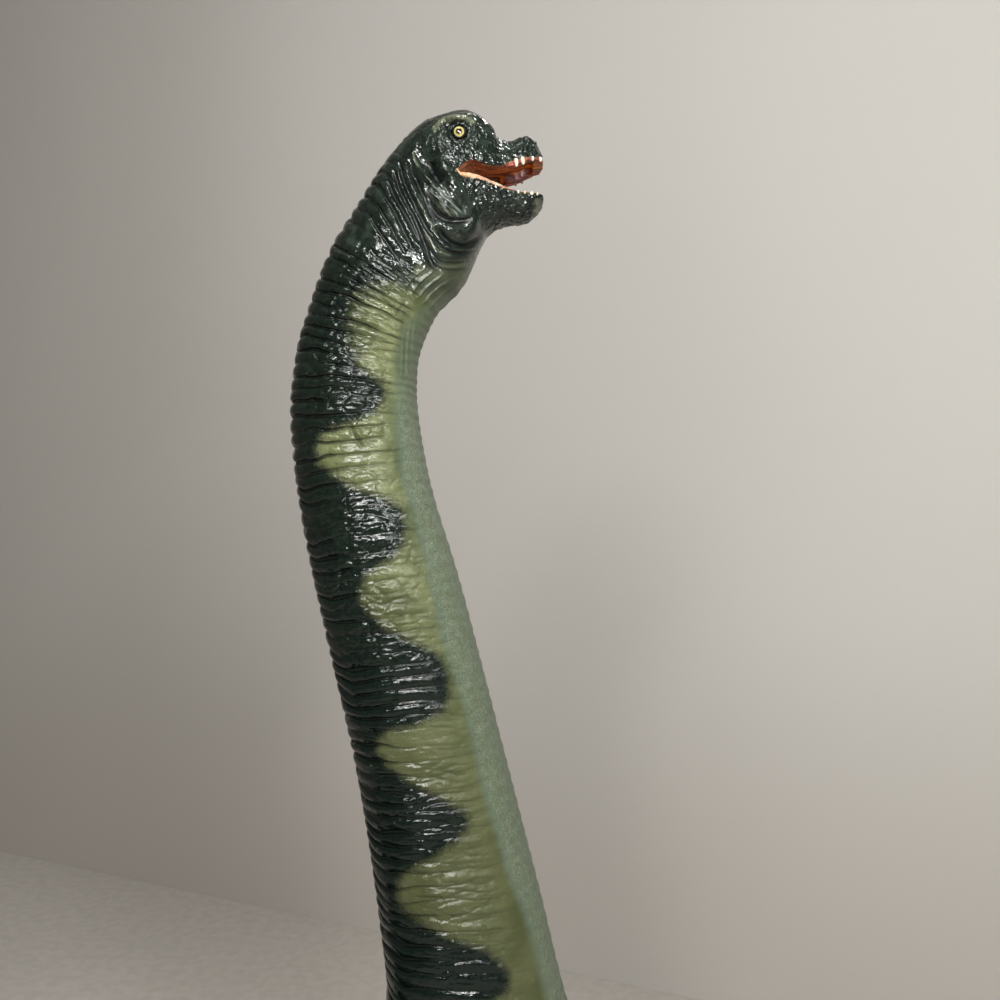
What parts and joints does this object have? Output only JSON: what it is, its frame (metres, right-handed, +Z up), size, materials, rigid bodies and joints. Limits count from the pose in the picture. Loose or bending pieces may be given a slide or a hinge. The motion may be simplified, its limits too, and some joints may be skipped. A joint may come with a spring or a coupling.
{
  "type": "toy dinosaur figure",
  "caption": "Standing long-necked dinosaur figure in painted vinyl, with a raised neck, open mouth, column legs and a tapering tail.",
  "frame": {"origin": "middle of the bounding box at the height of the four flat soles", "axes": "+X the way the figure faces, +Y to its left, +Z up"},
  "size_m": [0.3827, 0.0778, 0.3505],
  "materials": {
    "neck_vinyl": "dark green and olive paint on moulded vinyl, half gloss",
    "torso_vinyl": "dark green and olive paint on moulded vinyl, half gloss",
    "tail_vinyl": "dark green and olive paint on moulded vinyl, half gloss",
    "leg_vinyl": "dark green and olive paint on moulded vinyl, half gloss",
    "eye_gloss": "glossy yellow bead with a black pupil"
  },
  "bodies": {
    "root": {"head_and_neck": "neck_vinyl", "torso": "torso_vinyl", "tail": "tail_vinyl", "foreleg_right": "leg_vinyl", "foreleg_left": "leg_vinyl", "hindleg_right": "leg_vinyl", "hindleg_left": "leg_vinyl", "eye_right": "eye_gloss", "eye_left": "eye_gloss"}
  },
  "joints": []
}
